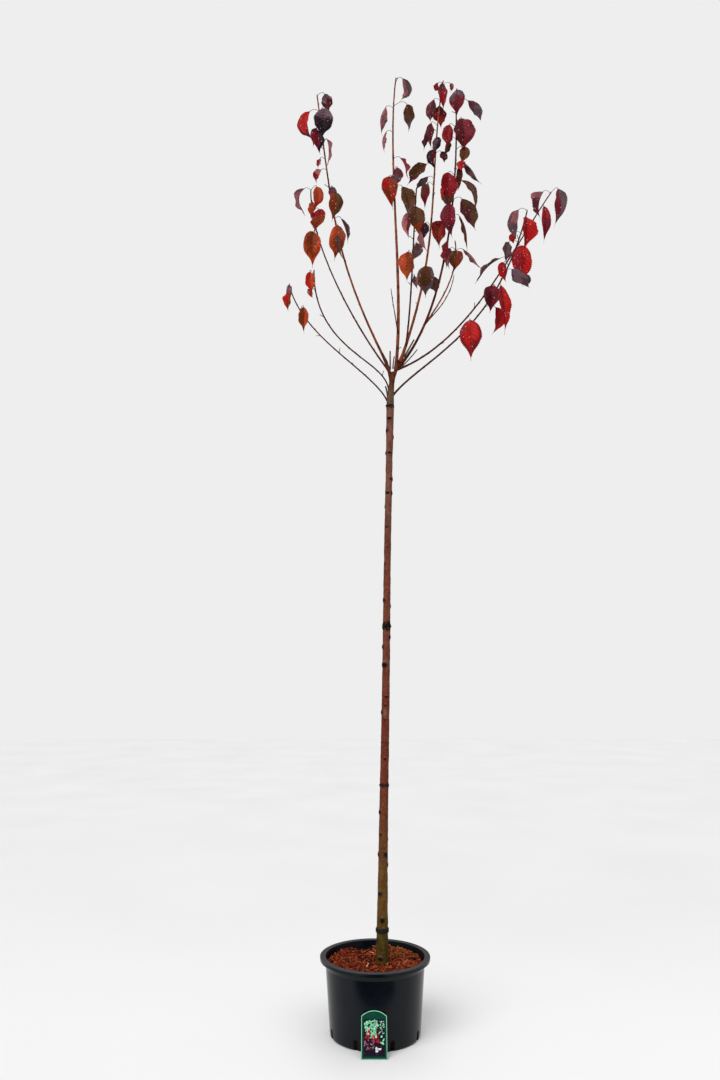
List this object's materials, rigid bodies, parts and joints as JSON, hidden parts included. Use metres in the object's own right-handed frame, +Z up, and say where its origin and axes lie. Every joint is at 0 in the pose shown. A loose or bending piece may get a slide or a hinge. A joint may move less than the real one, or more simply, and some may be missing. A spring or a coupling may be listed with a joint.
{
  "type": "potted ornamental cherry, tall standard",
  "caption": "Potted ornamental cherry, a 4.2 m tall standard with a thin stem and long whips in autumn leaf.",
  "frame": {"origin": "centre of the pot's flat underside, on the floor", "axes": "+Z up along the stem; +X across the widest spread of the whips, to the viewer's right; +Y to the back, away from the label card"},
  "size_m": [1.3483, 0.6523, 4.2284],
  "materials": {
    "bark": "smooth lenticelled red-brown bark, slightly glossy",
    "leaf": "autumn leaves, satin above and dull below, from scarlet and orange to dark purple",
    "pot_plastic": "black moulded plastic, satin",
    "mulch": "damp shredded bark, dull",
    "card": "thin printed plastic card, satin",
    "tie_rubber": "black rubber, dull"
  },
  "bodies": {
    "root": {"pot": "pot_plastic", "mulch": "mulch", "label_card": "card", "tie_low": "tie_rubber", "tie_mid": "tie_rubber", "trunk": "bark", "bough_leader": "bark", "bough_leader_twig": "bark", "bough_left_back": "bark", "bough_left_front": "bark", "bough_left_low": "bark", "bough_left_tall": "bark", "bough_right_front": "bark", "bough_right_inner": "bark", "bough_right_long": "bark", "bough_right_low": "bark", "bough_right_tall": "bark", "bough_right_twig": "bark", "bough_right_upright": "bark", "leaves_leader": "leaf", "leaves_left_back": "leaf", "leaves_left_front": "leaf", "leaves_left_low": "leaf", "leaves_left_tall": "leaf", "leaves_right_front": "leaf", "leaves_right_inner": "leaf", "leaves_right_long": "leaf", "leaves_right_low": "leaf", "leaves_right_tall": "leaf", "leaves_right_upright": "leaf"}
  },
  "joints": []
}
